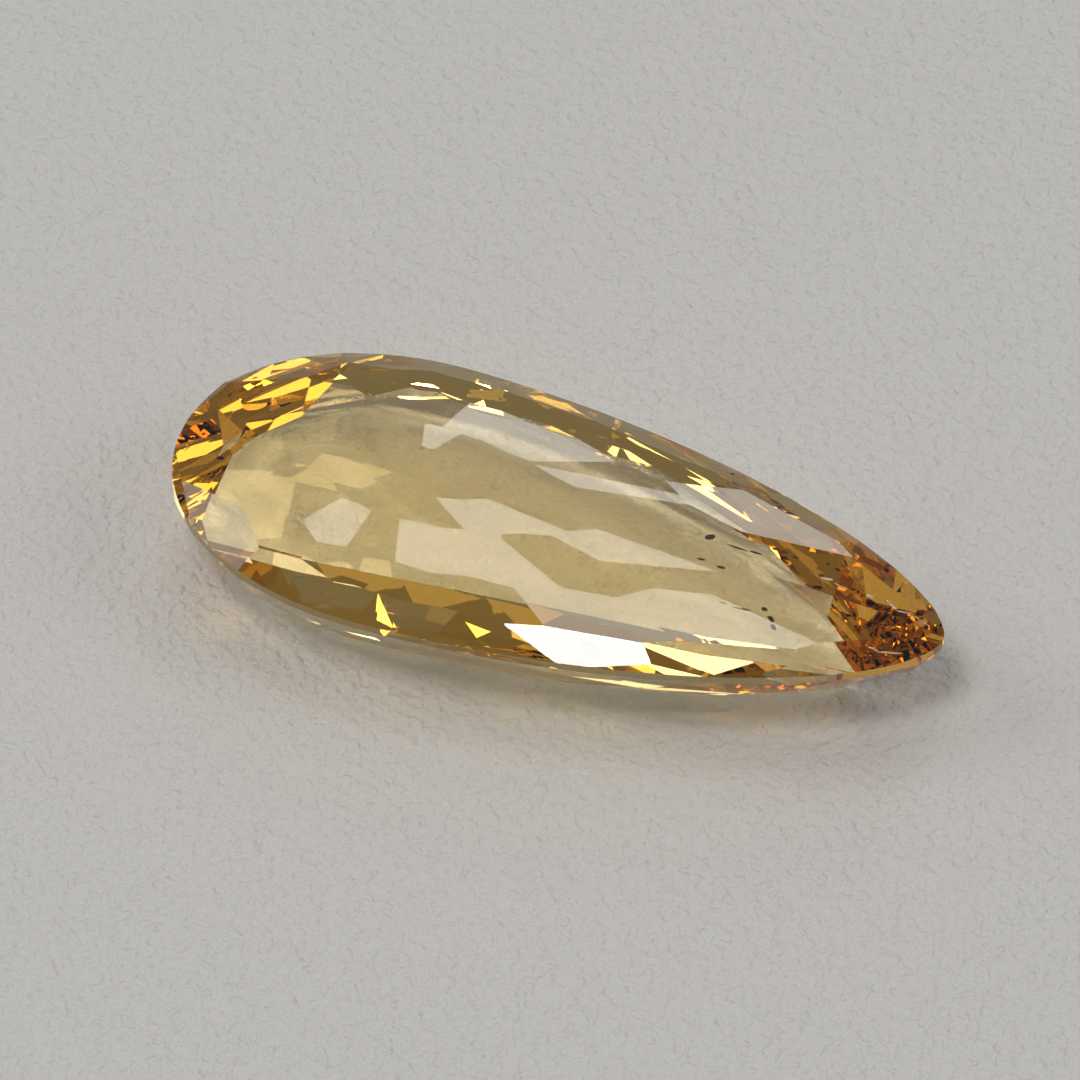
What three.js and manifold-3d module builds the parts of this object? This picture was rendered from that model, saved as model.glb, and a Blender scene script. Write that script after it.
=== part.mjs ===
// Pear-cut topaz: one loose faceted stone with a round head and a long narrow point.
// Units are millimetres. +X runs from the head to the point, +Y across, +Z up out of the table.
// The stone stands on the flat along the bottom of its keel, with the table level.

import * as THREE from 'three';
import Module from 'manifold-3d';

// Girdle outline
const stoneLength = 16.0;
const stoneWidth = 6.87;
const bellyFromHead = 4.87;     // distance from the head to the widest place
const headFullness = 2.08;      // 2 is a plain ellipse
const wingFullness = 1.81;      // how long the wings stay wide
const pointSharpness = 0.605;   // 0.5 is round, 1 is a straight-sided point
const outlineSteps = 56;        // straight pieces in a quarter of the outline

// Heights, from the middle of the girdle
const girdleThickness = 0.18;
const crownHeight = 0.90;
const domeHeight = 0.92;        // top of the shallow dome that the crown's diamonds touch
const domeRim = 0.24;           // height the dome would have at the outline
const pavilionDepth = 2.21;
const blankMargin = 0.5;        // rough stone left above and below before the facets are cut

// Stations round the outline: degrees from the cross axis, towards the point
const headEnd = -90;
const pointEnd = 90;
const turnCentre = 4.8;
const stations = [headEnd, -54, -24, 0, 31, 57, 73, 83, pointEnd];
const girdleTouches = [0.25, 0.75];   // where in a gap its two girdle facets touch the outline

// Crown and pavilion: slope of each main in degrees, and how far from the girdle the corners
// between mains sit
const crown = {
  up: 1,
  mainSlopes: [21, 27, 30, 32, 32, 31, 29, 26, 20],
  cornerHeights: [0.21, 0.21, 0.25, 0.33, 0.31, 0.11, 0.16, 0.25],
};
const pavilion = {
  up: -1,
  mainSlopes: [62, 62, 62, 62, 62, 62, 60, 56, 50],
  cornerHeights: [1.07, 1.07, 1.07, 1.07, 1.0, 0.87, 0.73, 0.6],
};

// Rows of diamonds: places of the crown's rows, 0 at the turning centre and 1 at the outline, and
// the slopes of the pavilion's rows in degrees
const crownRows = [0.78, 0.5, 0.22];
const pavilionRows = [54, 44, 32, 20];

// Finenesses of the working
const halvings = 60;
const outlineStep = 0.001;
const endReach = 0.002;
const straightAhead = 1e-6;

// Half the width of the outline at a distance from the head
function halfWidth(x) {
  if (x < bellyFromHead) {
    const back = (bellyFromHead - x) / bellyFromHead;
    return (stoneWidth / 2) * Math.pow(Math.max(0, 1 - Math.pow(back, headFullness)), 1 / headFullness);
  }
  const along = Math.min(1, (x - bellyFromHead) / (stoneLength - bellyFromHead));
  return (stoneWidth / 2) * Math.pow(Math.max(0, 1 - Math.pow(along, wingFullness)), pointSharpness);
}

// Distance from the head at which the outline crosses a station's line
function stationX(degrees) {
  if (degrees <= headEnd) return 0;
  if (degrees >= pointEnd) return stoneLength;
  let low = 0;
  let high = stoneLength;
  for (let i = 0; i < halvings; i += 1) {
    const x = (low + high) / 2;
    const angle = THREE.MathUtils.radToDeg(Math.atan2(x - turnCentre, halfWidth(x)));
    if (angle < degrees) low = x;
    else high = x;
  }
  return (low + high) / 2;
}

// Level outward direction of the outline
function outwardAt(x) {
  if (x <= endReach) return new THREE.Vector3(-1, 0, 0);
  if (x >= stoneLength - endReach) return new THREE.Vector3(1, 0, 0);
  const rise = (halfWidth(x + outlineStep) - halfWidth(x - outlineStep)) / (2 * outlineStep);
  return new THREE.Vector3(-rise, 1, 0).normalize();
}

function girdlePoint(x, z) {
  return new THREE.Vector3(x, halfWidth(x), z);
}

// A facet plane that leans out by its slope and holds one point
function facetThrough(outward, slope, up, point) {
  const lean = THREE.MathUtils.degToRad(slope);
  const normal = outward.clone().multiplyScalar(Math.sin(lean));
  normal.z = up * Math.cos(lean);
  return new THREE.Plane().setFromNormalAndCoplanarPoint(normal.normalize(), point);
}

// A facet plane through three points, facing up or down
function facetOfThree(a, b, c, up) {
  const plane = new THREE.Plane().setFromCoplanarPoints(a, b, c);
  if (plane.normal.z * up < 0) plane.negate();
  return plane;
}

function mirrored(plane) {
  const normal = new THREE.Vector3(plane.normal.x, -plane.normal.y, plane.normal.z);
  return new THREE.Plane(normal, plane.constant);
}

// The point where three planes meet
function meetingPoint(a, b, c) {
  const rows = new THREE.Matrix3();
  rows.set(
    a.normal.x, a.normal.y, a.normal.z,
    b.normal.x, b.normal.y, b.normal.z,
    c.normal.x, c.normal.y, c.normal.z,
  );
  return new THREE.Vector3(-a.constant, -b.constant, -c.constant).applyMatrix3(rows.invert());
}

function levelPlane(z) {
  return new THREE.Plane(new THREE.Vector3(0, 0, 1), -z);
}

// Two facets that share one corner and each touch the girdle between two stations
function girdleFacets(from, to, corner, z, up) {
  return girdleTouches.map((part) => {
    const x = stationX(from + (to - from) * part);
    const touch = girdlePoint(x, z);
    const outward = outwardAt(x);
    const along = new THREE.Vector3(-outward.y, outward.x, 0).add(touch);
    return facetOfThree(touch, along, corner, up);
  });
}

const stationXs = stations.map(stationX);
const middleXs = stations.slice(1).map((angle, i) => stationX((angle + stations[i]) / 2));

// Mains at the girdle and a pair of girdle facets in each gap, with the corners between mains
function girdleBelt({ up, mainSlopes, cornerHeights }) {
  const girdle = up * (girdleThickness / 2);
  const mains = stationXs.map((x, i) => facetThrough(outwardAt(x), mainSlopes[i], up, girdlePoint(x, girdle)));
  const corners = middleXs.map((x, i) => {
    const level = levelPlane(girdle + up * cornerHeights[i]);
    return meetingPoint(mains[i], mains[i + 1], level);
  });
  const pairs = corners.flatMap((corner, i) => girdleFacets(stations[i], stations[i + 1], corner, girdle, up));
  return { mains, corners, pairs };
}

// Crown: the belt, then diamonds that touch a shallow dome in staggered rows
function crownFacets() {
  const { mains, pairs } = girdleBelt(crown);
  const centre = new THREE.Vector3(turnCentre, 0, 0);
  const rise = domeHeight - domeRim;
  const diamonds = crownRows.flatMap((part, row) => (row % 2 === 0 ? middleXs : stationXs).map((x) => {
    const rim = girdlePoint(x, 0).sub(centre);
    const outward = outwardAt(x);
    const slope = THREE.MathUtils.radToDeg(Math.atan((2 * rise * part) / rim.dot(outward)));
    const touch = centre.clone().addScaledVector(rim, part);
    touch.z = domeRim + rise * (1 - part * part);
    return facetThrough(outward, slope, crown.up, touch);
  }));
  return [...mains, ...pairs, ...diamonds];
}

// Pavilion: the belt, then rows of long diamonds, each row laid through the meeting points of the
// row before
function pavilionFacets() {
  const { mains, corners, pairs } = girdleBelt(pavilion);
  let upper = mains;
  let lower = middleXs.map((x, i) => facetThrough(outwardAt(x), pavilionRows[0], pavilion.up, corners[i]));
  const facets = [...mains, ...pairs, ...lower];
  for (let row = 1; row < pavilionRows.length; row += 1) {
    const onStations = row % 2 === 1;
    const next = (onStations ? stationXs : middleXs).map((x, i) => {
      const before = onStations ? (lower[i - 1] ?? mirrored(lower[0])) : lower[i];
      const after = onStations ? (lower[i] ?? mirrored(lower[lower.length - 1])) : lower[i + 1];
      const start = meetingPoint(upper[i], before, after);
      return facetThrough(outwardAt(x), pavilionRows[row], pavilion.up, start);
    });
    facets.push(...next);
    upper = lower;
    lower = next;
  }
  return facets;
}

const manifold = await Module();
manifold.setup();

// Straight-walled blank in the girdle outline
function blankGeometry() {
  const side = [];
  for (let i = 0; i <= outlineSteps; i += 1) {
    const x = bellyFromHead * (1 - Math.cos((i / outlineSteps) * (Math.PI / 2)));
    side.push(new THREE.Vector2(x, halfWidth(x)));
  }
  for (let i = 1; i <= outlineSteps; i += 1) {
    const x = bellyFromHead + (stoneLength - bellyFromHead) * Math.sin((i / outlineSteps) * (Math.PI / 2));
    side.push(new THREE.Vector2(x, halfWidth(x)));
  }
  const other = side.slice(1, -1).reverse().map((p) => new THREE.Vector2(p.x, -p.y));
  const shape = new THREE.Shape([...side, ...other]);
  const depth = crownHeight + pavilionDepth + 2 * blankMargin;
  const geometry = new THREE.ExtrudeGeometry(shape, { depth, bevelEnabled: false, steps: 1 });
  geometry.translate(0, 0, -pavilionDepth - blankMargin);
  return geometry;
}

function solidFrom(geometry) {
  const positions = geometry.getAttribute('position').array;
  const triangles = Uint32Array.from({ length: positions.length / 3 }, (_, i) => i);
  const mesh = new manifold.Mesh({ numProp: 3, vertProperties: Float32Array.from(positions), triVerts: triangles });
  mesh.merge();
  return new manifold.Manifold(mesh);
}

function geometryFrom(solid) {
  const mesh = solid.getMesh();
  const indexed = new THREE.BufferGeometry();
  indexed.setAttribute('position', new THREE.BufferAttribute(Float32Array.from(mesh.vertProperties), 3));
  indexed.setIndex(new THREE.BufferAttribute(Uint32Array.from(mesh.triVerts), 1));
  const geometry = indexed.toNonIndexed();
  geometry.computeVertexNormals();
  return geometry;
}

const table = levelPlane(crownHeight);
const keel = levelPlane(-pavilionDepth).negate();
const facets = [table, keel];
for (const facet of [...crownFacets(), ...pavilionFacets()]) {
  facets.push(facet);
  if (Math.abs(facet.normal.y) > straightAhead) facets.push(mirrored(facet));
}

let stone = solidFrom(blankGeometry());
for (const facet of facets) {
  const inward = facet.normal.clone().negate();
  stone = stone.trimByPlane([inward.x, inward.y, inward.z], facet.constant);
}
stone = stone.translate([-stoneLength / 2, 0, pavilionDepth]);

const golden = new THREE.MeshStandardMaterial({
  name: 'golden_topaz',
  color: new THREE.Color(0.86, 0.68, 0.36),
  roughness: 0.02,
  metalness: 0,
  transparent: true,
  opacity: 0.6,
  flatShading: true,
});

const topaz = new THREE.Mesh(geometryFrom(stone), golden);
topaz.name = 'topaz';

const group = new THREE.Group();
group.name = 'pear_cut_topaz';
group.add(topaz);

export default group;
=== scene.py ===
import math
import random
import bmesh
import bpy
from mathutils import Matrix, Vector


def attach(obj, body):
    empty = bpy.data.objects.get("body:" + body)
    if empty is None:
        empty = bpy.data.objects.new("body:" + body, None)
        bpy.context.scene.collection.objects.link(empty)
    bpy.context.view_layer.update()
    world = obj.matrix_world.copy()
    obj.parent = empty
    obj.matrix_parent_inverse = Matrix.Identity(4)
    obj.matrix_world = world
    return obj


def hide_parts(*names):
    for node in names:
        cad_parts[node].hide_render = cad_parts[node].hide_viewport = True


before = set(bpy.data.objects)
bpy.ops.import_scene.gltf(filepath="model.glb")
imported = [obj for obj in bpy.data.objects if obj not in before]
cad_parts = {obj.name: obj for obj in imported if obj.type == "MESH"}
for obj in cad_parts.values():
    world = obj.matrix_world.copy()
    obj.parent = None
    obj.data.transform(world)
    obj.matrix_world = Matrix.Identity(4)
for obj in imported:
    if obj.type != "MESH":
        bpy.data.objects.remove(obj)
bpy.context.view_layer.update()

mm = 0.001
scene = bpy.context.scene


# small helpers

def addObject(name, data):
    thing = bpy.data.objects.new(name, data)
    scene.collection.objects.link(thing)
    return thing


def newPiece(name, bm, material):
    mesh = bpy.data.meshes.new(name)
    bm.to_mesh(mesh)
    bm.free()
    mesh.materials.append(material)
    return addObject(name, mesh)


def newMaterial(name):
    material = bpy.data.materials.new(name)
    material.use_nodes = True
    material.node_tree.nodes.clear()
    return material


# underscores in an input's name stand for its spaces
def addNode(material, kind, **inputs):
    node = material.node_tree.nodes.new(kind)
    for name, value in inputs.items():
        node.inputs[name.replace("_", " ")].default_value = value
    return node


def join(material, fromSocket, toSocket):
    material.node_tree.links.new(fromSocket, toSocket)


def finishMaterial(material, shader):
    output = addNode(material, "ShaderNodeOutputMaterial")
    join(material, shader.outputs[0], output.inputs["Surface"])
    return output


# direction from the stone towards a viewer or a lamp, both angles in degrees
def towards(azimuth, elevation):
    a, e = math.radians(azimuth), math.radians(elevation)
    return Vector((math.sin(a) * math.cos(e), -math.cos(a) * math.cos(e), math.sin(e)))


# the camera looks down on the crown, with the point of the stone to the right

cameraSet = {
    "lookAt": (0.0, 0.0, 2.21),      # mm, middle of the length at the girdle
    "azimuth": 19.4,
    "elevation": 51.0,
    "distance": 160.0,               # mm
    "frameWidth": 21.4,              # mm across the picture at the stone
    "sensorWidth": 36.0,             # mm
    "pictureWidth": 1080,            # pixels
    "shift": (-18.5, -3.0),          # pixels the frame moves right and up
    "clip": (0.001, 20.0),           # m, nearest and farthest things shown
}


def buildCamera(s):
    data = bpy.data.cameras.new("camera")
    camera = addObject("camera", data)
    back = towards(s["azimuth"], s["elevation"])
    camera.location = (Vector(s["lookAt"]) + back * s["distance"]) * mm
    camera.rotation_mode = "QUATERNION"
    camera.rotation_quaternion = (-back).to_track_quat("-Z", "Y")
    data.sensor_width = s["sensorWidth"]
    data.lens = s["sensorWidth"] * s["distance"] / s["frameWidth"]
    data.shift_x, data.shift_y = [pixels / s["pictureWidth"] for pixels in s["shift"]]
    data.clip_start, data.clip_end = s["clip"]
    scene.camera = camera


buildCamera(cameraSet)
print("camera ready")


# the stone: one see-through golden crystal

stoneSet = {
    "surface": (1, 1, 1, 1),
    "colour": (0.93, 0.71, 0.0, 1),  # what the crystal lets through
    "density": 172.0,                # per metre
    "ior": 1.62,
    "roughness": 0.0,
    "mergeDistance": 0.0002,         # mm
    "flatWithin": 0.25,              # degrees between triangles of one facet
}


def stoneMaterial(s):
    material = newMaterial("golden_topaz")
    glass = addNode(material, "ShaderNodeBsdfPrincipled", Roughness=s["roughness"], IOR=s["ior"],
                    Base_Color=s["surface"], Transmission_Weight=1)
    absorb = addNode(material, "ShaderNodeVolumeAbsorption", Density=s["density"], Color=s["colour"])
    output = finishMaterial(material, glass)
    join(material, absorb.outputs[0], output.inputs["Volume"])
    return material


def buildStone(s):
    bm = bmesh.new()
    bm.from_mesh(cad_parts["topaz"].data)
    bmesh.ops.remove_doubles(bm, verts=bm.verts, dist=s["mergeDistance"] * mm)
    bmesh.ops.dissolve_limit(bm, angle_limit=math.radians(s["flatWithin"]),
                             verts=bm.verts, edges=bm.edges)
    for face in bm.faces:
        face.smooth = False
    piece = newPiece("cut_stone", bm, stoneMaterial(s))
    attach(piece, "root")
    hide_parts("topaz")
    return piece


stone = buildStone(stoneSet)
print("stone ready:", len(stone.data.polygons), "facets")


# specks and wisps grown into the crystal towards its point, a little under the crown

growthSet = {
    "seed": 11,
    "depth": 0.3,                    # mm under the crown
    "above": 50.0,                   # mm, height from which the crown is looked for
    "dark": (0.035, 0.028, 0.022, 1),
    "pale": (0.83, 0.80, 0.76, 1),
    "roughness": 0.6,
    "widths": (0.85, 1.15),          # least and most, in thicknesses
    "heights": (0.5, 0.8),           # least and most, in thicknesses
    "uneven": (0.86, 1.14),          # least and most reach of a corner, in radii
    "fineness": 2,                   # 1 makes balls of 20 faces, 2 of 80
    # one row each: x, y of one end, x, y of the other end, thickness, all mm
    "specks": [
        (2.92, 0.54, 3.00, 0.60, 0.13), (4.48, -0.66, 4.54, -0.66, 0.08),
        (4.66, -0.80, 4.73, -0.84, 0.10), (4.78, -0.95, 4.83, -0.99, 0.09),
        (5.50, 0.81, 5.56, 0.79, 0.07), (5.25, 0.52, 5.31, 0.53, 0.07),
        (5.44, 0.50, 5.49, 0.52, 0.05), (5.29, 0.86, 5.33, 0.86, 0.05),
        (3.34, 0.52, 3.74, 0.50, 0.05), (3.80, 0.54, 4.02, 0.54, 0.05),
        (2.92, -0.03, 3.04, -0.02, 0.05), (3.35, -0.07, 3.46, -0.06, 0.06),
        (4.19, 0.79, 4.27, 0.79, 0.06), (4.41, 0.81, 4.47, 0.81, 0.06),
        (4.64, 0.76, 4.70, 0.76, 0.06), (3.64, -0.81, 3.78, -0.81, 0.03),
        (3.92, -0.82, 4.26, -0.80, 0.03),
    ],
    "wisps": [
        (6.65, 0.47, 6.93, 0.27, 0.045), (6.93, 0.27, 7.21, 0.32, 0.04),
        (7.21, 0.32, 7.60, 0.22, 0.03), (6.67, -0.66, 6.85, -0.68, 0.04),
        (6.85, -0.68, 7.30, -0.55, 0.04), (5.72, -0.87, 5.79, -0.83, 0.07),
        (6.28, 0.41, 6.35, 0.41, 0.08), (5.30, 0.46, 5.52, 0.50, 0.05),
        (5.60, 0.44, 5.86, 0.38, 0.04),
    ],
}


def growthMaterial(name, colour, s):
    material = newMaterial(name)
    matter = addNode(material, "ShaderNodeBsdfPrincipled", Roughness=s["roughness"],
                     Base_Color=colour)
    finishMaterial(material, matter)
    return material


# the place under the crown at one level position, found by looking straight down on the stone
def underCrown(x, y, s):
    start = Vector((x, y, s["above"])) * mm
    place = stone.ray_cast(start, Vector((0, 0, -1)))[1]
    return place - Vector((0, 0, s["depth"] * mm))


# one piece of uneven balls, each stretched between the two ends of its row
def buildGrowths(name, rows, material, s, draw):
    bm = bmesh.new()
    for x1, y1, x2, y2, thickness in rows:
        centre = underCrown((x1 + x2) / 2, (y1 + y2) / 2, s)
        length = math.hypot(x2 - x1, y2 - y1) + thickness
        width = thickness * draw.uniform(*s["widths"])
        height = thickness * draw.uniform(*s["heights"])
        turn = Matrix.Rotation(math.atan2(y2 - y1, x2 - x1), 4, "Z")
        shape = Matrix.Translation(centre) @ turn @ Matrix.Diagonal((length, width, height, 1))
        made = bmesh.ops.create_icosphere(bm, subdivisions=s["fineness"], radius=mm / 2,
                                          matrix=shape)
        for vert in made["verts"]:
            away = vert.co - centre
            vert.co = centre + away * draw.uniform(*s["uneven"])
    piece = newPiece(name, bm, material)
    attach(piece, "root")


draw = random.Random(growthSet["seed"])
buildGrowths("dark_specks", growthSet["specks"],
             growthMaterial("dark_speck", growthSet["dark"], growthSet), growthSet, draw)
buildGrowths("pale_wisps", growthSet["wisps"],
             growthMaterial("pale_wisp", growthSet["pale"], growthSet), growthSet, draw)
print("specks and wisps ready")


# floor: pale paper with a fine tooth

floorSet = {
    "size": 600.0,                   # mm
    "below": 0.02,                   # mm under the keel flat
    "colour": (0.64, 0.625, 0.60, 1),
    "roughness": 0.9,
    "toothScale": 4200.0,            # bumps per metre
    "toothDetail": 4.0,
    "toothStrength": 0.9,
    "toothHeight": 0.00018,          # m
}


def floorMaterial(s):
    material = newMaterial("pale_paper")
    paper = addNode(material, "ShaderNodeBsdfPrincipled", Roughness=s["roughness"],
                    Base_Color=s["colour"])
    place = addNode(material, "ShaderNodeTexCoord")
    tooth = addNode(material, "ShaderNodeTexNoise", Scale=s["toothScale"], Detail=s["toothDetail"])
    bump = addNode(material, "ShaderNodeBump", Strength=s["toothStrength"],
                   Distance=s["toothHeight"])
    join(material, place.outputs["Object"], tooth.inputs["Vector"])
    join(material, tooth.outputs[0], bump.inputs["Height"])
    join(material, bump.outputs[0], paper.inputs["Normal"])
    finishMaterial(material, paper)
    return material


def buildFloor(s):
    bm = bmesh.new()
    bmesh.ops.create_grid(bm, x_segments=1, y_segments=1, size=s["size"] / 2 * mm)
    bmesh.ops.translate(bm, verts=bm.verts, vec=(0, 0, -s["below"] * mm))
    floor = newPiece("floor", bm, floorMaterial(s))


buildFloor(floorSet)
print("floor ready")


# light: a lamp high on the camera's side, small panels behind that show in single facets, a soft
# lamp at each end and a dim dome

lightSet = {
    "distance": 400.0,               # mm
    # one row each: elevation, azimuth, width and height in mm, brightness
    "lamps": [
        (69, -18, 100, 100, 17.0),
        (52, 180, 60, 60, 3.3), (39, 192, 60, 40, 3.3), (60, 195, 60, 50, 3.3),
        (70, 212, 50, 50, 3.3), (32, 186, 100, 40, 3.3), (66, 228, 50, 50, 3.3),
        (78, 200, 80, 60, 3.3),
        (40, 100, 180, 180, 2.2), (40, 280, 180, 180, 2.2),
    ],
    "dome": (0.2, 0.2, 0.2, 1),
    "bounces": 32,
    "clearBounces": 24,              # most through clear faces
    "glossyBounces": 12,             # most off shining faces
}


def buildLamp(number, row, s):
    elevation, azimuth, width, height, brightness = row
    data = bpy.data.lights.new(f"lamp_{number}", "AREA")
    data.shape = "RECTANGLE"
    data.size = width * mm
    data.size_y = height * mm
    data.energy = brightness * math.pi * width * height * mm ** 2
    lamp = addObject(f"lamp_{number}", data)
    back = towards(azimuth, elevation)
    lamp.location = back * s["distance"] * mm
    lamp.rotation_mode = "QUATERNION"
    lamp.rotation_quaternion = back.to_track_quat("Z", "Y")


def buildLight(s):
    for number, row in enumerate(s["lamps"]):
        buildLamp(number, row, s)
    world = bpy.data.worlds.new("dome")
    scene.world = world
    world.use_nodes = True
    world.node_tree.nodes["Background"].inputs["Color"].default_value = s["dome"]
    scene.view_settings.view_transform = "Standard"
    scene.cycles.max_bounces = s["bounces"]
    scene.cycles.transmission_bounces = s["clearBounces"]
    scene.cycles.glossy_bounces = s["glossyBounces"]
    scene.cycles.blur_glossy = 0
    scene.cycles.sample_clamp_indirect = 0


buildLight(lightSet)
print("light ready")
